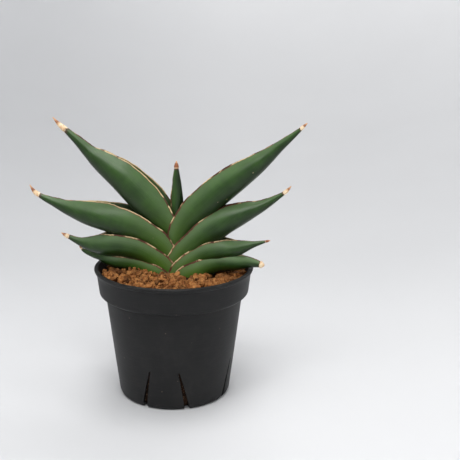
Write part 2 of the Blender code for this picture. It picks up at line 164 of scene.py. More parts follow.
# Colours of the leaves
DEEP_GREEN = (0.0135, 0.045, 0.0045)
LIVELY_GREEN = (0.025, 0.074, 0.0075)
BAND_GREEN = (0.010, 0.032, 0.005)
STREAK_GREEN = (0.044, 0.110, 0.016)
YOUNG_GREEN = (0.100, 0.205, 0.015)
# Painted shade for the lower flank, towards the keel
KEEL_SHADE_GREEN = (0.006, 0.015, 0.0035)
# Painted highlight: the lamps' sheen on the upper flank, laid into the colour
PAINTED_SHEEN_GREEN = (0.170, 0.260, 0.125)
CHANNEL_GREEN = (0.020, 0.030, 0.009)
CHANNEL_MAROON = (0.055, 0.016, 0.014)
HORN_BROWN = (0.085, 0.026, 0.014)
HORN_RED = (0.200, 0.070, 0.036)
MARGIN_CREAM = (0.72, 0.56, 0.30)
SCAR_BUFF = (0.42, 0.36, 0.20)
SCORCH_BROWN = (0.07, 0.030, 0.016)
STRAW_PALE = (0.90, 0.73, 0.50)
STRAW_DEEP = (0.78, 0.50, 0.27)
HUSK_END = (0.72, 0.40, 0.20)
HUSK_BROWN = (0.30, 0.105, 0.045)
# Pale bloom: partly the leaf's own bloom, partly a painted sheen on what faces up
BLOOM_AND_SHEEN = (0.30, 0.36, 0.27, 1)

# Colours of the pot, the grit, the roots and the studio
CHARCOAL = (0.0135, 0.0135, 0.014)
CHARCOAL_CLOUD = (0.0180, 0.0180, 0.0180)
CHARCOAL_RING = (0.020, 0.020, 0.0195)
POT_SPECK = (0.15, 0.12, 0.09)
POT_DUST = (0.13, 0.12, 0.11, 1)
GRIT_SHADES = ((0.045, 0.014, 0.004), (0.27, 0.092, 0.024), (0.47, 0.205, 0.062))  # dark to light
# The fines: their own dark brown, darkened further as painted shade for the mix seen through the
# slots
FINES_DARKENED_AS_SHADE = ((0.006, 0.0025, 0.001), (0.014, 0.0055, 0.0022), (0.026, 0.010, 0.004))
GRIT_SANDY = (0.44, 0.20, 0.065)
GRIT_PALE_GRAIN = (0.62, 0.42, 0.24)
# Pale powder on the tops of the lumps: partly dust, partly painted light
GRIT_POWDER_AND_TOP_LIGHT = (0.46, 0.24, 0.11, 1)
ROOT_TAN = (0.42, 0.26, 0.12)
ROOT_PALE = (0.62, 0.42, 0.22)
ROOT_SOIL = (0.30, 0.14, 0.06, 1)
PAINT = (0.68, 0.683, 0.69)
PAINT_CLOUD = (0.70, 0.703, 0.71)
PAINT_LEFT_SHADE = (0.30, 0.31, 0.33)
PAINT_BEHIND_SHADOW = (0.30, 0.305, 0.315)
AIR_GLOW = (0.94, 0.97, 1.0, 1)
AIR_SEEN = (0.62, 0.63, 0.65, 1)

# Studio, in metres
FLOOR_MIDDLE = (0, 0.35, 0)
FLOOR_SIZE = (1.9, 2.9, 1)
FLOOR_BACK_Y = 1.5
BACKDROP_HEIGHT = 2.6
COVE_RADIUS = 0.9
COVE_SEGMENTS = 24
SOFTBOXES = (  # name, place, where it points, size, power
    ("key_softbox", (-0.12, -0.52, 1.00), (0, 0.0, 0.08), (0.70, 0.45), 6.2),
    ("overhead_softbox", (0.02, -0.02, 1.10), (0, 0.0, 0.08), (0.50, 0.40), 3.9),
    ("left_fill", (-0.95, -0.35, 0.45), (0, 0, 0.07), (0.5, 0.5), 1.0),
    ("backdrop_wash", (0.30, 1.15, 1.5), (0.30, 1.25, 0.0), (1.3, 0.8), 12.5),
)
CAMERA_LENS = 66.97
CAMERA_SENSOR = 36.0
CAMERA_PLACE = (0.03159, -0.51744, 0.24007)
CAMERA_YAW_DEG = 0.379
CAMERA_PITCH_DEG = 14.516
CAMERA_ROLL_DEG = 0.543


# Small helpers

def deselect_all():
    if bpy.context.mode != "OBJECT":
        bpy.ops.object.mode_set(mode="OBJECT")
    bpy.ops.object.select_all(action="DESELECT")


def pick(obj):
    deselect_all()
    obj.select_set(True)
    bpy.context.view_layer.objects.active = obj


def named(name):
    obj = bpy.context.object
    obj.name = name
    obj.data.name = name
    return obj


def put_in_mesh(obj):
    pick(obj)
    bpy.ops.object.transform_apply(location=True, rotation=True, scale=True)


def smooth_step(low, high, value):
    share = min(1.0, max(0.0, (value - low) / (high - low)))
    return share * share * (3 - 2 * share)


def apply_all(obj):
    pick(obj)
    for modifier in list(obj.modifiers):
        bpy.ops.object.modifier_apply(modifier=modifier.name)


# Turned pieces

def turned(name, profile, segments):
    """A round body pulled up from a ring of edges, point by point along (radius, height)."""
    deselect_all()
    first_radius, first_z = profile[0]
    bpy.ops.mesh.primitive_circle_add(vertices=segments, radius=first_radius * MM,
                                      location=(0, 0, first_z * MM))
    obj = named(name)
    put_in_mesh(obj)
    bpy.ops.object.mode_set(mode="EDIT")
    bpy.ops.mesh.select_mode(type="EDGE")
    bpy.ops.mesh.select_all(action="SELECT")
    for (radius, z), (next_radius, next_z) in zip(profile, profile[1:]):
        rise = (0, 0, (next_z - z) * MM)
        bpy.ops.mesh.extrude_region_move(TRANSFORM_OT_translate={"value": rise})
        share = next_radius / radius
        bpy.ops.transform.resize(value=(share, share, 1), center_override=(0, 0, next_z * MM))
    bpy.ops.mesh.merge(type="CENTER")
    bpy.ops.object.mode_set(mode="OBJECT")
    cap_open_rings(obj)
    return obj


def corner_arc(centre, radius, start_deg, end_deg, steps):
    points = []
    x, z = centre
    for i in range(steps + 1):
        angle = math.radians(start_deg + (end_deg - start_deg) * i / steps)
        points.append((x + radius * math.cos(angle), z + radius * math.sin(angle)))
    return points


def between(start, end, steps):
    """Evenly spaced points from start to end, without either."""
    (x0, z0), (x1, z1) = start, end
    return [(x0 + (x1 - x0) * i / steps, z0 + (z1 - z0) * i / steps) for i in range(1, steps)]


def make_slot_cutter(index):
    """A wedge through the wall, wide at the foot, narrow at the top, leaning to one side."""
    deselect_all()
    foot_angle = SLOT_FIRST_DEG + 360.0 / SLOT_COUNT * index
    lean = SLOT_LEAN_DEG if index % 2 == 0 else -SLOT_LEAN_DEG
    bpy.ops.mesh.primitive_cube_add(size=1, location=(CUTTER_RADIUS * MM, 0, -MM),
                                    scale=(CUTTER_REACH * MM, SLOT_FOOT_WIDTH * MM, MM))
    cutter = named(f"slot_{index + 1}")
    put_in_mesh(cutter)
    bpy.ops.object.mode_set(mode="EDIT")
    bpy.ops.mesh.select_mode(type="FACE")
    mesh = bmesh.from_edit_mesh(cutter.data)
    for face in mesh.faces:
        face.select_set(face.normal.z > 0.9)
    bmesh.update_edit_mesh(cutter.data)
    widths = [SLOT_FOOT_WIDTH + (SLOT_TOP_WIDTH - SLOT_FOOT_WIDTH) * step / SLOT_STEPS
              for step in range(SLOT_STEPS + 1)]
    rise = (0, 0, (SLOT_TOP_Z + CUTTER_SPARE) / SLOT_STEPS * MM)
    for width, next_width in zip(widths, widths[1:]):
        bpy.ops.mesh.extrude_region_move(TRANSFORM_OT_translate={"value": rise})
        bpy.ops.transform.resize(value=(1, next_width / width, 1))
    bpy.ops.object.mode_set(mode="OBJECT")
    for vert in cutter.data.vertices:
        share = max(vert.co.z, 0) / (SLOT_TOP_Z * MM)
        angle = math.radians(foot_angle + lean * share)
        x, y = vert.co.x, vert.co.y
        vert.co.x = x * math.cos(angle) - y * math.sin(angle)
        vert.co.y = x * math.sin(angle) + y * math.cos(angle)
    return cutter


def drop_idle_points(obj):
    """Dissolves points where only two edges meet, so that no two faces share more than one."""
    pick(obj)
    bpy.ops.object.mode_set(mode="EDIT")
    bpy.ops.mesh.select_mode(type="VERT")
    mesh = bmesh.from_edit_mesh(obj.data)
    for vert in mesh.verts:
        vert.select_set(len(vert.link_edges) == 2)
    bmesh.update_edit_mesh(obj.data)
    bpy.ops.mesh.dissolve_verts()
    bpy.ops.object.mode_set(mode="OBJECT")


def make_pot():
    """The thin moulded shell: foot, tapering wall, rounded shoulder, band, rolled lip, inside."""
    foot = [(32.6, 0.0), (33.5, 0.15), (34.3, 0.6), (34.8, 1.1), (35.1, 1.7), (35.35, 2.3),
            WALL_FOOT]
    shoulder = [WALL_TOP, (43.9, 64.95), (44.7, 65.2), (45.5, 65.65), (46.1, 66.2), (46.6, 66.6),
                (47.0, 67.1), (47.15, 67.6), BAND_FOOT]
    lip = [(48.75, 80.35), (49.1, 80.6), (49.5, 80.8)]
    lip += corner_arc((49.1, 82.1), 0.9, -40, 90, 7)
    inner_lip = corner_arc((48.0, 82.2), 0.8, 90, 180, 4)
    inside_top = (LIP_INNER_RADIUS, 80.3)
    inside_band = (45.5, 68.5)
    inside_shoulder = (42.9, 66.7)
    inside_wall_top = (WALL_TOP[0] - WALL, WALL_TOP[1])
    inside_foot = (34.38, 4.5)
    floor = [(32.2, 1.6), (16.0, 1.6), (2.0, 1.6)]
    outside = foot + between(WALL_FOOT, WALL_TOP, 14) + shoulder
    outside += between(BAND_FOOT, BAND_TOP, 4) + [BAND_TOP] + lip
    inside = [inside_top] + between(inside_top, inside_band, 3)
    inside += [inside_band, inside_shoulder, inside_wall_top]
    inside += between(inside_wall_top, inside_foot, 10) + [inside_foot] + floor
    pot = turned("nursery_pot", outside + inner_lip + inside, POT_SEGMENTS)
    cutters = [make_slot_cutter(i) for i in range(SLOT_COUNT)]
    for cutter in cutters:
        cut = pot.modifiers.new(cutter.name, "BOOLEAN")
        cut.operation = "DIFFERENCE"
        cut.object = cutter
    apply_all(pot)
    for cutter in cutters:
        bpy.data.objects.remove(cutter)
    drop_idle_points(pot)
    for vert in pot.data.vertices:
        spot = Vector((vert.co.x, vert.co.y, vert.co.z * 0.6)) / (POT_WARP_LENGTH * MM)
        flat = Vector((vert.co.x, vert.co.y, 0))
        if flat.length > 20 * MM:
            vert.co += flat.normalized() * noise.noise(spot) * POT_WARP * MM
    pick(pot)
    bpy.ops.object.shade_smooth_by_angle(angle=math.radians(POT_CREASE_DEG))
    return pot


# Potting mix

def bed_height(x, y):
    """Height of the lumpy top of the mix, in millimetres, heaped a little against the stem."""
    lumps = 0.9 * noise.noise(Vector((x, y, 0)) / 7) + 0.8 * noise.noise(Vector((x, y, 9)) / 2.6)
    away = max(0.0, math.hypot(x * 0.55, y) - STEM_HALF_LENGTH)
    return BED_TOP_Z + lumps + MOUND_HEIGHT * math.exp(-(away / 7) ** 2)


def make_bed():
    """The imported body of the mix, which fills the pot, with a lumpy top and a gritty side."""
    top = [(BED_RADIUS * (1 - i / BED_RINGS), BED_TOP_Z) for i in range(BED_RINGS)]
    side = [(31.9, 1.9), (34.0, 4.6), (41.6, 65.0), (42.6, 67.1), (45.0, 68.9),
            (BED_RADIUS + 0.1, BED_TOP_Z - 1.5)]
    wall = side[:2] + between(side[1], side[2], 44) + side[2:]
    bed = turned("mix_bed", wall + top, BED_SEGMENTS)
    for vert in bed.data.vertices:
        x, y, z = (value / MM for value in vert.co)
        if z > BED_TOP_Z - 0.4:
            vert.co.z = bed_height(x, y) * MM
        elif z > 1.95:
            grit = noise.noise(Vector((x, y, z)) / 2.2)
            flat = Vector((vert.co.x, vert.co.y, 0)).normalized()
            vert.co -= flat * (0.35 + 0.35 * grit) * MM
    pick(bed)
    bpy.ops.object.shade_smooth_by_angle(angle=math.radians(50))
    return bed


def make_grit_kind(index, detail):
    """One craggy lump about 1 mm in radius, at the origin."""
    deselect_all()
    bpy.ops.mesh.primitive_ico_sphere_add(subdivisions=detail, radius=1, location=(0, 0, 0))
    lump = named(f"grit_kind_{index}")
    rng = random.Random(SEED + index)
    bpy.ops.object.mode_set(mode="EDIT")
    for _ in range(GRIT_CUTS):
        way = Vector((rng.uniform(-1, 1), rng.uniform(-1, 1), rng.uniform(-1, 1))).normalized()
        bpy.ops.mesh.select_all(action="SELECT")
        bpy.ops.mesh.bisect(plane_co=way * rng.uniform(0.62, 0.82), plane_no=way, use_fill=True,
                            clear_outer=True)
    bpy.ops.mesh.select_all(action="SELECT")
    bpy.ops.mesh.remove_doubles(threshold=0.06)
    bpy.ops.mesh.normals_make_consistent(inside=False)
    bpy.ops.object.mode_set(mode="OBJECT")
    stretch = Vector((rng.uniform(0.8, 1.25), rng.uniform(0.8, 1.25), rng.uniform(0.65, 0.95)))
    shift = Vector((index * 3.1, 0, 0))
    for vert in lump.data.vertices:
        crag = 1 + 0.34 * noise.noise(vert.co * 1.7 + shift)
        crag += 0.30 * noise.noise(vert.co * 3.9 + shift)
        vert.co = vert.co * crag * stretch
    pick(lump)
    bpy.ops.object.shade_smooth_by_angle(angle=math.radians(16))
    return lump


def low_leaf_clear(x, y, radius, top):
    """True if a lump here stays out of the leaves that hang low over the mix."""
    fan = math.radians(FAN_TURN_DEG)
    reach = x * math.cos(fan) + y * math.sin(fan)
    across = -x * math.sin(fan) + y * math.cos(fan)
    for _, sheath, *_, midline in LEAVES:
        for (r0, z0, d0), (r1, z1, d1) in zip(midline, midline[1:]):
            if min(r0, r1) - radius <= reach <= max(r0, r1) + radius:
                share = min(1, max(0, (reach - r0) / (r1 - r0))) if abs(r1 - r0) > 0.5 else 0.5
                under = z0 + (z1 - z0) * share - (d0 + (d1 - d0) * share) / 2
                half = (d0 + (d1 - d0) * share) * BLADE_FLATNESS / 2
                if abs(reach) < 14:
                    half = max(half, sheath / 2)
                if abs(across) < half + radius * 0.3 and top > under + 1.8:
                    return False
    return True


def place_lump(kind, rng, place, size, name):
    """A copy of a lump, turned, sized and set in place inside its own mesh."""
    lump = bpy.data.objects.new(name, kind.data.copy())
    bpy.context.scene.collection.objects.link(lump)
    lump.rotation_euler = [rng.uniform(0, math.tau) for _ in range(3)]
    lump.scale = (size * MM,) * 3
    lump.location = [value * MM for value in place]
    tone = lump.data.attributes.new("tone", "FLOAT", "POINT")
    tone.data.foreach_set("value", [rng.random()] * len(lump.data.vertices))
    return lump


def scatter_grit(kinds):
    """The heap of lumps that covers the bed, in loose layers, joined into one piece."""
    rng = random.Random(SEED)
    lumps = []
    for spacing, smallest, largest, lift, kept in GRIT_LAYERS:
        steps = int(BED_RADIUS / spacing) + 2
        for i in range(-steps, steps + 1):
            for j in range(-steps, steps + 1):
                x = (i + 0.5 * (j % 2) + rng.uniform(-0.34, 0.34)) * spacing
                y = (j * GRIT_ROW_PITCH + rng.uniform(-0.3, 0.3)) * spacing
                size = rng.uniform(smallest, largest)
                chance = rng.random()
                radius = math.hypot(x, y)
                if radius > BED_RADIUS - size * 0.75 or chance > kept:
                    continue
                z = bed_height(x, y) + lift
                if not low_leaf_clear(x, y, size, z + size * 0.7):
                    continue
                name = f"lump_{len(lumps)}"
                lumps.append(place_lump(rng.choice(kinds), rng, (x, y, z), size, name))
    deselect_all()
    for lump in lumps:
        lump.select_set(True)
    bpy.context.view_layer.objects.active = lumps[0]
    bpy.ops.object.transform_apply(location=True, rotation=True, scale=True)
    bpy.ops.object.join()
    return named("grit_heap")


def make_loose_grit(kinds):
    """The larger lumps on top, one for each of the loose ones in the frame."""
    rng = random.Random(SEED + 5)
    loose = []
    for node in sorted(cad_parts):
        if not node.startswith("granule_"):
            continue
        low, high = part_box(node)
        middle = (low + high) / 2 / MM
        size = (high - low).length / 2 / MM / LOOSE_SIZE
        place = (middle.x, middle.y, middle.z - 0.3)
        lump = place_lump(rng.choice(kinds), rng, place, size, "loose_" + node)
        put_in_mesh(lump)
        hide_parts(node)
        loose.append(lump)
    return loose


# Leaves

def along(values, place):
    """Smooth reading of a list of tuples at a place from 0 to 1, passing through each of them."""
    last = len(values) - 1
    spot = min(place * last, last - 1e-9)
    i = int(spot)
    t = spot - i
    before = values[max(i - 1, 0)]
    after = values[min(i + 2, last)]
    out = []
    for a, b, c, d in zip(before, values[i], values[i + 1], after):
        bow = 2 * a - 5 * b + 4 * c - d + t * (3 * (b - c) + d - a)
        out.append(b + 0.5 * t * (c - a + t * bow))
    return out


def midline_lengths(midline, steps=400):
    """Length run from the foot at evenly spaced places on the midline."""
    runs = [0.0]
    here = along(midline, 0)
    for i in range(1, steps + 1):
        ahead = along(midline, i / steps)
        runs.append(runs[-1] + math.hypot(ahead[0] - here[0], ahead[1] - here[1]))
        here = ahead
    return runs


def place_at(runs, run):
    """Place from 0 to 1 on the midline at a length run from the foot."""
    low, high = 0, len(runs) - 1
    while high - low > 1:
        middle = (low + high) // 2
        if runs[middle] <= run:
            low = middle
        else:
            high = middle
    share = (run - runs[low]) / max(runs[high] - runs[low], 1e-9)
    return (low + share) / (len(runs) - 1)


def leaf_measures(sheath, midline, place):
    """Depth and breadth of a leaf, how hollow its channel is and how far apart its margins are."""
    depth = max(along(midline, place)[2], 0.3)
    sheathing = 1 - smooth_step(0.0, SHEATH_END, place)
    blade = BLADE_FLATNESS + OUTER_SPREAD * (sheath - 9)
    flatness = blade + (TIP_FLATNESS - blade) * smooth_step(0.5, 0.9, place)
    breadth = sheath * sheathing + depth * flatness * (1 - sheathing)
    channel = 1 - smooth_step(CHANNEL_START, CHANNEL_END, place)
    later = CLASP_SPREAD * (sheath - 9)
    clasping = 1 - smooth_step(CLASP_START + 0.7 * later, CLASP_END + later, place)
    easing = max(0, CLASP_EASING - 0.03 * (sheath - 9))
    clasp = CLASP_MARGIN - easing * smooth_step(0.14, 0.34, place)
    margin = clasp * clasping + (0.22 * channel + 0.08) * (1 - clasping)
    return depth, breadth, channel, margin


def make_leaf_blank(name, sheath, midline, runs):
    """A straight tapering tube along X, pulled out ring by ring and sized at each."""
    deselect_all()
    length = runs[-1]
    bpy.ops.mesh.primitive_circle_add(vertices=RING_SIDES, radius=0.5, rotation=(0, math.pi / 2, 0))
    blank = named(name)
    put_in_mesh(blank)
    bpy.ops.object.mode_set(mode="EDIT")
    bpy.ops.mesh.select_mode(type="EDGE")
    bpy.ops.mesh.select_all(action="SELECT")
    depth, breadth, _, _ = leaf_measures(sheath, midline, 0)
    bpy.ops.transform.resize(value=(1, depth * MM, breadth * MM), center_override=(0, 0, 0))
    run = 0.0
    for ring in range(1, RINGS):
        share = ring / (RINGS - 1)
        next_run = length * (share + RING_CROWDING * share * (1 - share))
        next_depth, next_breadth, _, _ = leaf_measures(sheath, midline, place_at(runs, next_run))
        step = ((next_run - run) * MM, 0, 0)
        bpy.ops.mesh.extrude_region_move(TRANSFORM_OT_translate={"value": step})
        bpy.ops.transform.resize(value=(1, next_depth / depth, next_breadth / breadth),
                                 center_override=(next_run * MM, 0, 0))
        run, depth, breadth = next_run, next_depth, next_breadth
    bpy.ops.mesh.extrude_region_move(TRANSFORM_OT_translate={"value": (POINT_LENGTH * MM, 0, 0)})
    bpy.ops.mesh.merge(type="CENTER")
    bpy.ops.object.mode_set(mode="OBJECT")
    return blank


def cap_open_rings(obj):
    """Closes each open ring with a fan of faces and turns the faces outwards."""
    pick(obj)
    bpy.ops.object.mode_set(mode="EDIT")
    mesh = bmesh.from_edit_mesh(obj.data)
    for edge in mesh.edges:
        edge.select_set(edge.is_boundary)
    bmesh.update_edit_mesh(obj.data)
    bpy.ops.mesh.edge_face_add()
    bpy.ops.mesh.poke()
    bpy.ops.mesh.select_all(action="SELECT")
    bpy.ops.mesh.normals_make_consistent(inside=False)
    bpy.ops.object.mode_set(mode="OBJECT")


def leaf_section(depth, breadth, channel, margin):
    """Half section of a leaf from the keel over the crest into the channel.

    The points are (across, deep) in millimetres. With them goes each one's distance from the crest,
    positive on the flank and negative in the channel.
    """
    crest = CREST_POINT
    crest_angle = math.radians(CREST_DEG)
    narrowest = math.cos(crest_angle)
    points = []
    for i in range(HALF_SIDES + 1):
        if i <= crest:
            angle = -math.pi / 2 + (math.pi / 2 + crest_angle) * i / crest
            across = math.cos(angle)
            deep = math.sin(angle)
            if angle > 0:
                across = margin + (1 - margin) * (across - narrowest) / (1 - narrowest)
                deep /= math.sin(crest_angle)
            points.append((across * breadth / 2, deep * depth / 2))
        else:
            into = (i - crest) / (HALF_SIDES - crest)
            hollow = CHANNEL_DEPTH * depth * channel * math.sin(into * math.pi / 2) ** 0.75
            points.append((margin * breadth / 2 * (1 - into ** 1.2), depth / 2 - hollow))
    steps = [math.dist(a, b) for a, b in zip(points, points[1:])]
    from_crest = [sum(steps[i:crest]) if i <= crest else -sum(steps[crest:i])
                  for i in range(HALF_SIDES + 1)]
    return points, from_crest


def shape_leaf(blank, number, spec, runs, top_side):
    """Presses the channel into a blank, roughens its margins and notes where each point lies."""
    _, sheath, dry, brown, cream, blush, midline = spec
    length = runs[-1]
    data = blank.data
    notes = {name: [0.0] * len(data.vertices) for name in LEAF_NOTES}
    skin = [0.0] * (3 * len(data.vertices))
    sections = {}
    for vert in data.vertices:
        run = vert.co.x / MM
        key = round(run, 3)
        place = place_at(runs, min(run, length))
        if key not in sections:
            measures = leaf_measures(sheath, midline, place)
            sections[key] = measures, leaf_section(*measures)
        (depth, breadth, *_), (points, from_crest) = sections[key]
        y = vert.co.y * top_side / MM / (depth / 2)
        z = vert.co.z / MM / (breadth / 2)
        near = math.hypot(y, z) > 0.5
        turn = math.atan2(y, abs(z)) if near else 0
        i = round((turn / math.pi + 0.5) * HALF_SIDES)
        side = 1 if z >= 0 else -1
        crest = from_crest[i]
        thick = 1 - 0.8 * smooth_step(0.45, 0.75, place)
        if near:
            across, deep = points[i]
            spot = Vector((run / 13, number * 5.3 + side, crest / 9))
            swell = 1 + 0.035 * noise.noise(spot) * smooth_step(0.1, 0.4, place)
            swell += HUSK_SWELL * math.sin(math.pi * min(1, (length - run) / dry))
            edge = math.exp(-(crest / MARGIN_WIDTH) ** 2) * smooth_step(0.0, 0.15, place)
            edge *= min(1, depth / 6)
            wave = MARGIN_WAVE * noise.noise(Vector((run / 7, number * 3.7, side * 4)))
            ragged = MARGIN_RAG * noise.noise(Vector((run / 1.5, number * 9.1, side * 4)))
            horn = HORN_RISE * thick if i == CREST_POINT else 0
            deep = deep * swell + edge * (wave + ragged) + horn
            vert.co.y = deep * top_side * MM
            vert.co.z = (across * swell + edge * 0.3 * wave) * side * MM
        index = vert.index
        notes["margin"][index] = crest if near else 9.0
        notes["tip"][index] = (length - run) / dry
        clasped = 1 - smooth_step(CLASP_START, CLASP_END, place)
        notes["cream"][index] = cream * thick * (1 - 0.5 * clasped)
        notes["blush"][index] = blush * smooth_step(0.1, 0.8, place)
        notes["youth"][index] = (0.62 + 0.048 * number) * (1 - smooth_step(0.0, 0.42, place))
        notes["brown"][index] = brown
        notes["far"][index] = 1 - thick
        # How strong the painted highlight on the upper flank is, more on the outer leaves
        notes["painted_sheen_strength"][index] = 0.22 + 0.06 * number
        notes["around"][index] = (i / HALF_SIDES) / CREST_SHARE if near else 0.5
        skin[3 * index:3 * index + 3] = (from_crest[0] - crest, run, number * 17)
    for name, values in notes.items():
        data.attributes.new(name, "FLOAT", "POINT").data.foreach_set("value", values)
    data.attributes.new("skin", "FLOAT_VECTOR", "POINT").data.foreach_set("vector", skin)


def bend_leaf(leaf, midline):
    """Bends a straight leaf along its midline, then stands it in the fan plane."""
    curve = bpy.data.curves.new(leaf.name + "_midline", "CURVE")
    curve.dimensions = "2D"
    spline = curve.splines.new("POLY")
    steps = 300
    spline.points.add(steps)
    for i in range(steps + 1):
        reach, height, _ = along(midline, i / steps)
        spline.points[i].co = (reach * MM, height * MM, 0, 1)
    guide = bpy.data.objects.new(leaf.name + "_guide", curve)
    bpy.context.scene.collection.objects.link(guide)
    bend = leaf.modifiers.new("bend", "CURVE")
    bend.object = guide
    bend.deform_axis = "POS_X"
    apply_all(leaf)
    bpy.data.objects.remove(guide)
    leaf.rotation_euler = (math.pi / 2, 0, math.radians(FAN_TURN_DEG))
    put_in_mesh(leaf)
    pick(leaf)
    bpy.ops.object.shade_smooth_by_angle(angle=math.radians(60))


def make_leaf(number, spec):
    name, sheath, *_, midline = spec
    runs = midline_lengths(midline)
    leaf = make_leaf_blank(name.replace("leaf", "fleshy_leaf"), sheath, midline, runs)
    cap_open_rings(leaf)
    top_side = 1 if midline[-1][0] >= midline[0][0] else -1
    shape_leaf(leaf, number, spec, runs, top_side)
    bend_leaf(leaf, midline)
    return leaf


# Materials

def feed(tree, socket, value):
    """Gives a socket a value, or links another socket to it."""
    if isinstance(value, bpy.types.NodeSocket):
        tree.links.new(value, socket)
    else:
        socket.default_value = value


def add_node(tree, kind, **values):
    """A node with its properties and sockets set by name; i0, i1 and so on are numbered sockets."""
    node = tree.nodes.new(kind)
    sockets = {}
    for key, value in values.items():
        if hasattr(node, key) and key not in ("inputs", "color"):
            setattr(node, key, value)
        else:
            sockets[key] = value
    for key, value in sockets.items():
        numbered = key[0] == "i" and key[1:].isdigit()
        feed(tree, node.inputs[int(key[1:]) if numbered else key.replace("_", " ")], value)
    return node


def attribute(tree, name):
    return add_node(tree, "ShaderNodeAttribute", attribute_name=name)


def maths(tree, operation, a, b, clamp=False):
    node = add_node(tree, "ShaderNodeMath", operation=operation, use_clamp=clamp, i0=a, i1=b)
    return node.outputs[0]


def times(tree, a, b):
    return maths(tree, "MULTIPLY", a, b)


def spread(tree, value, low, high, to_low=0.0, to_high=1.0):
    """Value between low and high mapped smoothly to a mask."""
    node = add_node(tree, "ShaderNodeMapRange", interpolation_type="SMOOTHSTEP", i0=value, i1=low,
                    i2=high, i3=to_low, i4=to_high)
    return node.outputs[0]


def blend_colour(tree, mask, under, over):
    """One colour laid over another through a mask."""
    node = tree.nodes.new("ShaderNodeMix")
    node.data_type = "RGBA"
    for number, value in ((0, mask), (6, under), (7, over)):
        feed(tree, node.inputs[number], (*value, 1.0) if isinstance(value, tuple) else value)
    return node.outputs[2]


def tint(tree, mask, strength, under, over):
    """One colour laid over another through a mask, at part of its strength."""
    return blend_colour(tree, times(tree, mask, strength), under, over)


def stretched(tree, vector, scale):
    return add_node(tree, "ShaderNodeMapping", Vector=vector, Scale=scale).outputs[0]


def cloud_noise(tree, vector, scale, detail):
    node = add_node(tree, "ShaderNodeTexNoise", Vector=vector, Scale=scale, Detail=detail)
    return node.outputs[0]


def new_group(name, inputs, outputs):
    """A shader node group with named sockets: inputs are (name, kind, value)."""
    tree = bpy.data.node_groups.new(name, "ShaderNodeTree")
    for label, kind, value in inputs:
        socket = tree.interface.new_socket(name=label, in_out="INPUT",
                                           socket_type="NodeSocket" + kind)
        if value is not None:
            socket.default_value = value
    for label, kind in outputs:
        tree.interface.new_socket(name=label, in_out="OUTPUT", socket_type="NodeSocket" + kind)
    given = tree.nodes.new("NodeGroupInput").outputs
    return tree, given, tree.nodes.new("NodeGroupOutput").inputs


def use_group(tree, group, **values):
    node = tree.nodes.new("ShaderNodeGroup")
    node.node_tree = group
    for key, value in values.items():
        feed(tree, node.inputs[key], value)
    return node.outputs


def make_mottle_group():
    """Soft patches between two levels of a noise."""
    tree, given, out = new_group(
        "Soft mottle",
        [("Vector", "Vector", None), ("Scale", "Float", 100.0), ("Detail", "Float", 3.0),
         ("Low", "Float", 0.4), ("High", "Float", 0.6)],
        [("Mask", "Float")])
    cloud = cloud_noise(tree, given["Vector"], given["Scale"], given["Detail"])
    tree.links.new(spread(tree, cloud, given["Low"], given["High"]), out["Mask"])
    return tree


def make_dust_group():
    """Pale dust and scuffs: settles on what faces up, and gathers in a fine noise."""
    tree, given, out = new_group(
        "Dust film",
        [("Vector", "Vector", None), ("Colour", "Color", (0.1, 0.1, 0.1, 1)),
         ("Dust", "Color", (0.4, 0.36, 0.3, 1)), ("Amount", "Float", 0.2),
         ("Scale", "Float", 300.0)],
        [("Colour", "Color"), ("Mask", "Float")])
    cloud = add_node(tree, "ShaderNodeTexNoise", Vector=given["Vector"], Scale=given["Scale"],
                     Detail=5.0, Roughness=0.7)
    grain = spread(tree, cloud.outputs[0], 0.45, 0.75)
    facing = add_node(tree, "ShaderNodeNewGeometry")
    split = add_node(tree, "ShaderNodeSeparateXYZ", i0=facing.outputs["Normal"])
    lying = spread(tree, split.outputs["Z"], -0.2, 1.0, 0.25, 1.0)
    mask = maths(tree, "MULTIPLY", times(tree, grain, lying), given["Amount"], clamp=True)
    tree.links.new(blend_colour(tree, mask, given["Colour"], given["Dust"]), out["Colour"])
    tree.links.new(mask, out["Mask"])
    return tree


def make_grain_group():
    """A fine uneven surface as a bumped normal."""
    tree, given, out = new_group(
        "Fine grain",
        [("Vector", "Vector", None), ("Scale", "Float", 900.0), ("Depth", "Float", 0.00005),
         ("Strength", "Float", 1.0)],
        [("Normal", "Vector")])
    cloud = cloud_noise(tree, given["Vector"], given["Scale"], 4.0)
    bump = add_node(tree, "ShaderNodeBump", Strength=given["Strength"], Distance=given["Depth"],
                    Height=cloud)
    tree.links.new(bump.outputs[0], out["Normal"])
    return tree


def new_material(name):
    material = bpy.data.materials.new(name)
    material.use_nodes = True
    tree = material.node_tree
    return material, tree, tree.nodes["Principled BSDF"]


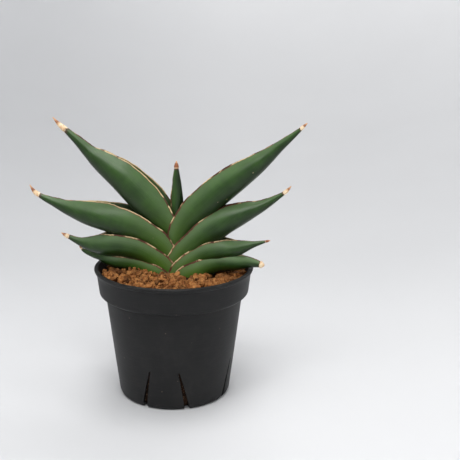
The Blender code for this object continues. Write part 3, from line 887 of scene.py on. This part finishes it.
def make_leaf_skin(groups):
    """Thick waxy green skin, a horny red-brown and cream margin, and a dry tip."""
    material, tree, shader = new_material("waxy_leaf_skin")
    mottle, dust, grain = groups
    skin = attribute(tree, "skin").outputs["Vector"]
    note = {name: attribute(tree, name).outputs["Fac"] for name in LEAF_NOTES}
    here = add_node(tree, "ShaderNodeTexCoord").outputs["Object"]

    # Green skin: patches, cross bands and lengthwise streaks
    crosswise = stretched(tree, skin, (0.10, 0.42, 1.0))
    lengthwise = stretched(tree, skin, (1.9, 0.07, 1.0))
    patches = use_group(tree, mottle, Vector=here, Scale=95.0, Detail=4.0, Low=0.35,
                        High=0.68)["Mask"]
    bands = use_group(tree, mottle, Vector=crosswise, Scale=1.0, Detail=3.0, Low=0.42,
                      High=0.64)["Mask"]
    streaks = use_group(tree, mottle, Vector=lengthwise, Scale=1.0, Detail=4.0, Low=0.40,
                        High=0.66)["Mask"]
    green = blend_colour(tree, patches, DEEP_GREEN, LIVELY_GREEN)
    green = tint(tree, bands, 0.22, green, BAND_GREEN)
    green = tint(tree, streaks, 0.25, green, STREAK_GREEN)
    green = tint(tree, note["youth"], 0.80, green, YOUNG_GREEN)

    # Painted shade darkens the flank towards the keel, a painted highlight lightens it below the
    # crest; darker or maroon in the channel
    # Painted shade: the lower flank darkened towards the keel
    keel = spread(tree, note["around"], 0.78, 0.24)
    green = tint(tree, keel, 0.85, green, KEEL_SHADE_GREEN)
    grown = maths(tree, "SUBTRACT", 1.0, times(tree, note["youth"], 0.6))
    # Painted highlight on the upper flank below the crest, less on young growth
    painted_sheen_mask = times(tree, spread(tree, note["around"], 0.62, 0.88), grown)
    green = tint(tree, painted_sheen_mask, note["painted_sheen_strength"], green, PAINTED_SHEEN_GREEN)
    inside = spread(tree, note["margin"], -0.4, -1.6)
    green = tint(tree, inside, 0.55, green, CHANNEL_GREEN)
    green = tint(tree, inside, note["blush"], green, CHANNEL_MAROON)

    # Horny margin, broken into dashes, with a cream hairline
    wobble = cloud_noise(tree, skin, 0.55, 3.0)
    sway = maths(tree, "SUBTRACT", wobble, 0.5)
    edge = maths(tree, "ADD", note["margin"], times(tree, sway, 0.7))
    thinned = maths(tree, "ADD", edge, times(tree, note["far"], 0.55))
    outer = times(tree, spread(tree, thinned, 0.85, 0.50), spread(tree, edge, -0.75, -0.4))
    broken = cloud_noise(tree, stretched(tree, skin, (0.02, 0.16, 1.0)), 1.0, 4.0)
    horn = blend_colour(tree, spread(tree, broken, 0.40, 0.60), HORN_BROWN, HORN_RED)
    colour = blend_colour(tree, outer, green, horn)
    creamy = maths(tree, "ADD", broken, times(tree, note["cream"], 0.30))
    pale_spots = times(tree, spread(tree, creamy, 0.56, 0.66),
                       spread(tree, note["far"], 0.75, 0.25, 0.25, 1.0))
    hair = times(tree, spread(tree, edge, 0.48, 0.26), spread(tree, edge, -0.48, -0.26))
    colour = tint(tree, hair, pale_spots, colour, MARGIN_CREAM)

    # Small pale scars
    scarring = stretched(tree, skin, (0.55, 0.38, 1.0))
    scars = use_group(tree, mottle, Vector=scarring, Scale=1.0, Detail=1.0, Low=0.795,
                      High=0.815)["Mask"]
    colour = tint(tree, scars, 0.7, colour, SCAR_BUFF)

    # Dry tip: a scorched ring, then straw, then brown husk to the point
    tip = maths(tree, "ADD", note["tip"], times(tree, sway, 0.35))
    dry = spread(tree, tip, 1.03, 0.95)
    scorched = times(tree, spread(tree, tip, 1.22, 1.04), spread(tree, tip, 0.9, 1.0))
    browned = spread(tree, maths(tree, "SUBTRACT", tip, note["brown"]), 0.10, -0.08)
    straw = blend_colour(tree, spread(tree, wobble, 0.4, 0.6), STRAW_PALE, STRAW_DEEP)
    husk = blend_colour(tree, spread(tree, tip, 0.05, 0.4), HUSK_END, HUSK_BROWN)
    colour = blend_colour(tree, scorched, colour, SCORCH_BROWN)
    colour = blend_colour(tree, dry, colour, blend_colour(tree, browned, straw, husk))

    # Pale bloom on what faces up, partly real bloom and partly painted sheen
    bloom_and_sheen = use_group(tree, dust, Vector=here, Colour=colour, Dust=BLOOM_AND_SHEEN, Amount=0.05, Scale=60.0)
    tree.links.new(bloom_and_sheen["Colour"], shader.inputs["Base Color"])
    horny = maths(tree, "MAXIMUM", outer, dry)
    roughness = maths(tree, "ADD", 0.34, times(tree, horny, 0.25))
    roughness = maths(tree, "ADD", roughness, times(tree, streaks, 0.05))
    tree.links.new(roughness, shader.inputs["Roughness"])
    fine = use_group(tree, grain, Vector=here, Scale=1500.0, Depth=0.00003, Strength=0.6)
    furrows = add_node(tree, "ShaderNodeBump", Strength=0.5, Distance=0.00025,
                       Height=cloud_noise(tree, lengthwise, 1.0, 5.0), Normal=fine["Normal"])
    tree.links.new(furrows.outputs[0], shader.inputs["Normal"])
    shader.inputs["Specular IOR Level"].default_value = 0.30
    shader.inputs["Coat Weight"].default_value = 0.05
    shader.inputs["Coat Roughness"].default_value = 0.25
    return material


def make_pot_plastic(groups):
    """Charcoal moulded plastic, satin, with a little dust, scuffs and faint turning marks."""
    material, tree, shader = new_material("charcoal_pot_plastic")
    mottle, dust, grain = groups
    here = add_node(tree, "ShaderNodeTexCoord").outputs["Object"]
    cloud = use_group(tree, mottle, Vector=here, Scale=38.0, Detail=4.0, Low=0.35, High=0.7)["Mask"]
    base = blend_colour(tree, cloud, CHARCOAL, CHARCOAL_CLOUD)
    flow = stretched(tree, here, (70.0, 70.0, 1100.0))
    rings = use_group(tree, mottle, Vector=flow, Scale=1.0, Detail=2.0, Low=0.45, High=0.7)["Mask"]
    base = tint(tree, rings, 0.35, base, CHARCOAL_RING)
    specks = use_group(tree, mottle, Vector=here, Scale=420.0, Detail=1.0, Low=0.775,
                       High=0.80)["Mask"]
    base = tint(tree, specks, 0.5, base, POT_SPECK)
    dusty = use_group(tree, dust, Vector=here, Colour=base, Dust=POT_DUST, Amount=0.16, Scale=160.0)
    tree.links.new(dusty["Colour"], shader.inputs["Base Color"])
    roughness = maths(tree, "ADD", 0.46, times(tree, cloud, 0.10))
    roughness = maths(tree, "ADD", roughness, times(tree, dusty["Mask"], 0.6))
    tree.links.new(roughness, shader.inputs["Roughness"])
    fine = use_group(tree, grain, Vector=here, Scale=2600.0, Depth=0.00004, Strength=0.5)
    marks = add_node(tree, "ShaderNodeBump", Strength=0.25, Distance=0.0001, Height=rings,
                     Normal=fine["Normal"])
    tree.links.new(marks.outputs[0], shader.inputs["Normal"])
    shader.inputs["Specular IOR Level"].default_value = 0.16
    return material


def make_grit(groups, name, shades, toned):
    """Fired reddish grit, porous and pitted; where it is toned, each lump has its own shade."""
    material, tree, shader = new_material(name)
    mottle, dust, grain = groups
    dark, mid, light = shades
    here = add_node(tree, "ShaderNodeTexCoord").outputs["Object"]
    patches = use_group(tree, mottle, Vector=here, Scale=420.0, Detail=4.0, Low=0.34,
                        High=0.66)["Mask"]
    colour = blend_colour(tree, patches, mid, light)
    if toned:
        tone = attribute(tree, "tone").outputs["Fac"]
        colour = blend_colour(tree, spread(tree, tone, 0.35, 1.0, 0.0, 0.75), colour, dark)
        colour = blend_colour(tree, spread(tree, tone, 0.3, 0.0, 0.0, 0.5), colour, GRIT_SANDY)
    pits = add_node(tree, "ShaderNodeTexVoronoi", Vector=here, Scale=750.0)
    hollow = spread(tree, pits.outputs["Distance"], 0.42, 0.12)
    # Painted shade: the pits darkened in colour, as well as pressed in by the bump below
    colour = tint(tree, hollow, 0.42, colour, dark)
    pale = use_group(tree, mottle, Vector=here, Scale=1300.0, Detail=2.0, Low=0.66,
                     High=0.72)["Mask"]
    colour = tint(tree, pale, 0.5, colour, GRIT_PALE_GRAIN)
    # Pale powder on the upward faces: partly dust, partly painted light on the tops
    powder_and_top_light = use_group(tree, dust, Vector=here, Colour=colour, Dust=GRIT_POWDER_AND_TOP_LIGHT, Amount=0.25,
                       Scale=700.0)
    tree.links.new(powder_and_top_light["Colour"], shader.inputs["Base Color"])
    rough = maths(tree, "ADD", 0.84, times(tree, patches, 0.12))
    tree.links.new(rough, shader.inputs["Roughness"])
    fine = use_group(tree, grain, Vector=here, Scale=1100.0, Depth=0.0007, Strength=1.0)
    pitted = add_node(tree, "ShaderNodeBump", Strength=0.9, Distance=0.0006,
                      Height=times(tree, hollow, -1.0), Normal=fine["Normal"])
    tree.links.new(pitted.outputs[0], shader.inputs["Normal"])
    shader.inputs["Specular IOR Level"].default_value = 0.2
    return material


def make_root_flesh(groups):
    """Pale tan root flesh with darker patches and clinging soil."""
    material, tree, shader = new_material("root_flesh_tan")
    mottle, dust, grain = groups
    here = add_node(tree, "ShaderNodeTexCoord").outputs["Object"]
    patches = use_group(tree, mottle, Vector=here, Scale=160.0, Detail=4.0, Low=0.35,
                        High=0.65)["Mask"]
    colour = blend_colour(tree, patches, ROOT_TAN, ROOT_PALE)
    soiled = use_group(tree, dust, Vector=here, Colour=colour, Dust=ROOT_SOIL, Amount=0.5,
                       Scale=500.0)
    tree.links.new(soiled["Colour"], shader.inputs["Base Color"])
    rough = maths(tree, "ADD", 0.6, times(tree, patches, 0.15))
    tree.links.new(rough, shader.inputs["Roughness"])
    fine = use_group(tree, grain, Vector=here, Scale=900.0, Depth=0.0002, Strength=0.8)
    tree.links.new(fine["Normal"], shader.inputs["Normal"])
    return material


def make_sweep_paint(groups):
    """Matt pale paint of the floor and backdrop, greyer to the left and just behind the pot as
    painted shade.
    """
    material, tree, shader = new_material("pale_sweep_paint")
    mottle = groups[0]
    here = add_node(tree, "ShaderNodeTexCoord").outputs["Object"]
    cloud = use_group(tree, mottle, Vector=here, Scale=3.0, Detail=2.0, Low=0.3, High=0.7)["Mask"]
    place = add_node(tree, "ShaderNodeSeparateXYZ", i0=here)
    colour = blend_colour(tree, cloud, PAINT, PAINT_CLOUD)
    # Painted shade: the paint greys towards the left, where less light falls
    painted_left_shade = spread(tree, place.outputs["X"], 0.10, -0.42, 0.0, 0.30)
    colour = blend_colour(tree, painted_left_shade, colour, PAINT_LEFT_SHADE)
    # Painted shadow on the floor and the foot of the backdrop just behind the pot
    behind = times(tree, spread(tree, place.outputs["Y"], -0.05, 0.32),
                   spread(tree, place.outputs["Z"], 0.40, 0.02))
    colour = tint(tree, behind, 0.30, colour, PAINT_BEHIND_SHADOW)
    tree.links.new(colour, shader.inputs["Base Color"])
    shader.inputs["Roughness"].default_value = 0.85
    return material


def finish_piece(obj, material, body="root"):
    obj.data.materials.clear()
    obj.data.materials.append(material)
    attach(obj, body)


# Studio

def make_sweep(material):
    """Floor that curves up into a backdrop."""
    deselect_all()
    bpy.ops.mesh.primitive_plane_add(size=1, location=FLOOR_MIDDLE)
    sweep = named("studio_sweep")
    sweep.scale = FLOOR_SIZE
    put_in_mesh(sweep)
    bpy.ops.object.mode_set(mode="EDIT")
    bpy.ops.mesh.select_mode(type="EDGE")
    mesh = bmesh.from_edit_mesh(sweep.data)
    for edge in mesh.edges:
        edge.select_set(all(vert.co.y > FLOOR_BACK_Y for vert in edge.verts))
    bmesh.update_edit_mesh(sweep.data)
    bpy.ops.mesh.extrude_region_move(TRANSFORM_OT_translate={"value": (0, 0, BACKDROP_HEIGHT)})
    bpy.ops.object.mode_set(mode="OBJECT")
    cove = sweep.modifiers.new("cove", "BEVEL")
    cove.width = COVE_RADIUS
    cove.segments = COVE_SEGMENTS
    cove.limit_method = "ANGLE"
    apply_all(sweep)
    bpy.ops.object.shade_smooth()
    sweep.data.materials.append(material)


def soft_light(name, place, aim, size, power):
    data = bpy.data.lights.new(name, "AREA")
    data.shape = "RECTANGLE"
    data.size, data.size_y = size
    data.energy = power
    light = bpy.data.objects.new(name, data)
    bpy.context.scene.collection.objects.link(light)
    light.location = place
    light.rotation_euler = (Vector(aim) - Vector(place)).to_track_quat("-Z", "Y").to_euler()


def light_studio():
    """The softboxes, a faint glow from the air, and a plain grey where the sweep ends."""
    world = bpy.data.worlds.new("studio_air")
    bpy.context.scene.world = world
    world.use_nodes = True
    tree = world.node_tree
    air = tree.nodes["Background"]
    air.inputs["Color"].default_value = AIR_GLOW
    air.inputs["Strength"].default_value = 0.10
    seen = add_node(tree, "ShaderNodeBackground", Color=AIR_SEEN, Strength=1.0)
    path = add_node(tree, "ShaderNodeLightPath")
    mix = add_node(tree, "ShaderNodeMixShader", i0=path.outputs["Is Camera Ray"],
                   i1=air.outputs[0], i2=seen.outputs[0])
    tree.links.new(mix.outputs[0], tree.nodes["World Output"].inputs["Surface"])
    for softbox in SOFTBOXES:
        soft_light(*softbox)


def place_camera():
    data = bpy.data.cameras.new("studio_camera")
    data.lens = CAMERA_LENS
    data.sensor_width = CAMERA_SENSOR
    camera = bpy.data.objects.new("studio_camera", data)
    bpy.context.scene.collection.objects.link(camera)
    camera.location = CAMERA_PLACE
    yaw = Matrix.Rotation(-math.radians(CAMERA_YAW_DEG), 3, "Z")
    pitch = Matrix.Rotation(math.pi / 2 - math.radians(CAMERA_PITCH_DEG), 3, "X")
    roll = Matrix.Rotation(math.radians(CAMERA_ROLL_DEG), 3, "Z")
    camera.rotation_euler = (yaw @ pitch @ roll).to_euler()
    data.clip_start, data.clip_end = 0.01, 20
    bpy.context.scene.camera = camera
    bpy.context.scene.view_settings.view_transform = "Standard"


def main():
    groups = make_mottle_group(), make_dust_group(), make_grain_group()
    skin = make_leaf_skin(groups)
    plastic = make_pot_plastic(groups)
    grit = make_grit(groups, "reddish_grit", GRIT_SHADES, toned=True)
    fines = make_grit(groups, "dark_fines_with_painted_shade", FINES_DARKENED_AS_SHADE, toned=False)

    pot = make_pot()
    finish_piece(pot, plastic)
    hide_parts("pot")

    bed = make_bed()
    finish_piece(bed, fines)
    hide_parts("soil")

    kinds = [make_grit_kind(i, 2) for i in range(GRIT_KINDS)]
    heap = scatter_grit(kinds)
    loose = make_loose_grit(kinds)
    for kind in kinds:
        bpy.data.objects.remove(kind)
    for piece in [heap] + loose:
        finish_piece(piece, grit)

    for number, spec in enumerate(LEAVES):
        leaf = make_leaf(number, spec)
        finish_piece(leaf, skin)
        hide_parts(spec[0])

    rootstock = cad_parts["rootstock"]
    rootstock.data.materials.clear()
    rootstock.data.materials.append(make_root_flesh(groups))

    make_sweep(make_sweep_paint(groups))
    light_studio()
    place_camera()
    deselect_all()


main()
bpy.context.view_layer.update()
